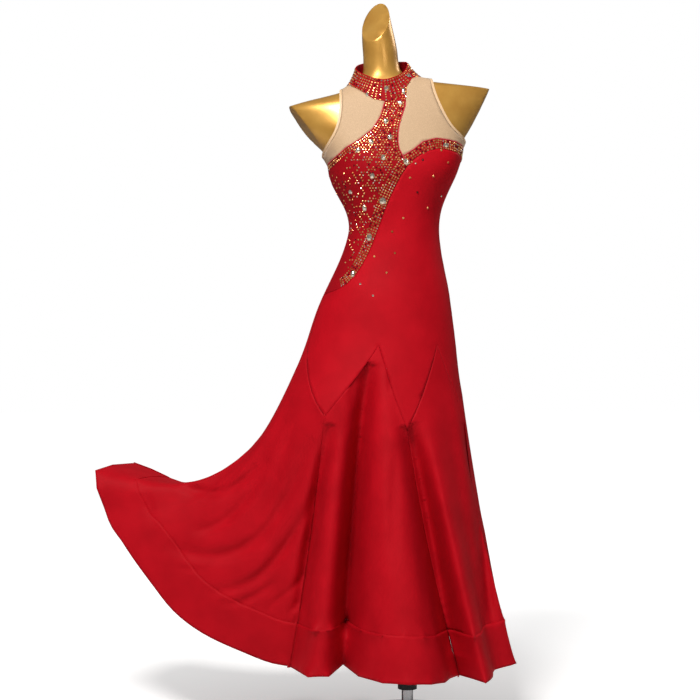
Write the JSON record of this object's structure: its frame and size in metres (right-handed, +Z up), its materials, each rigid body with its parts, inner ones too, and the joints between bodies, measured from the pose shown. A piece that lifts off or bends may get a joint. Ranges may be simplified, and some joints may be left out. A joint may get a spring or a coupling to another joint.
{
  "type": "ballroom dance dress on a dress form",
  "caption": "Long halter-neck ballroom dance dress with a flared gored skirt swept out at one side, worn by a limbless dress form on a pole stand.",
  "frame": {"origin": "centre of the stand base's underside, on the pole's axis", "axes": "+Z up along the pole, the shown front faces -Y, +X to the viewer's right (the wearer's left)"},
  "size_m": [0.9278, 0.5659, 1.581],
  "materials": {
    "jersey": "smooth matt stretch jersey",
    "mesh": "fine matt stretch mesh",
    "binding": "flat woven elastic",
    "crystal": "faceted and foil-backed",
    "gold": "glossy metallic gold paint",
    "steel": "polished",
    "black": "satin"
  },
  "bodies": {
    "root": {"armhole_binding_left": "binding", "armhole_binding_right": "binding", "bodice_back": "jersey", "bodice_front": "jersey", "bodice_jewelled_panel": "jersey", "collar": "jersey", "form_torso": "gold", "hem_band_back": "jersey", "hem_band_front": "jersey", "hem_band_left_back": "jersey", "hem_band_left_front": "jersey", "hem_band_train_back": "jersey", "hem_band_train_front": "jersey", "mesh_back_left": "mesh", "mesh_back_right": "mesh", "mesh_front_left": "mesh", "mesh_front_right": "mesh", "nape_button": "jersey", "skirt_back": "jersey", "skirt_front": "jersey", "skirt_left_back": "jersey", "skirt_left_front": "jersey", "skirt_train_back": "jersey", "skirt_train_front": "jersey", "stand_base": "steel", "stand_bush": "black", "stand_pole": "steel", "stone_breastbone": "crystal", "stone_collar_left": "crystal", "stone_collar_middle": "crystal", "stone_collar_right": "crystal", "stone_collar_side": "crystal", "stone_cup_inner": "crystal", "stone_cup_left": "crystal", "stone_cup_low": "crystal", "stone_cup_middle": "crystal", "stone_cup_outer": "crystal", "stone_cup_upper": "crystal", "stone_hip": "crystal", "stone_neck": "crystal", "stone_rib": "crystal", "stone_sash_high": "crystal", "stone_sweetheart": "crystal", "stone_throat": "crystal", "stone_waist": "crystal", "sweetheart_band": "jersey"}
  },
  "joints": []
}
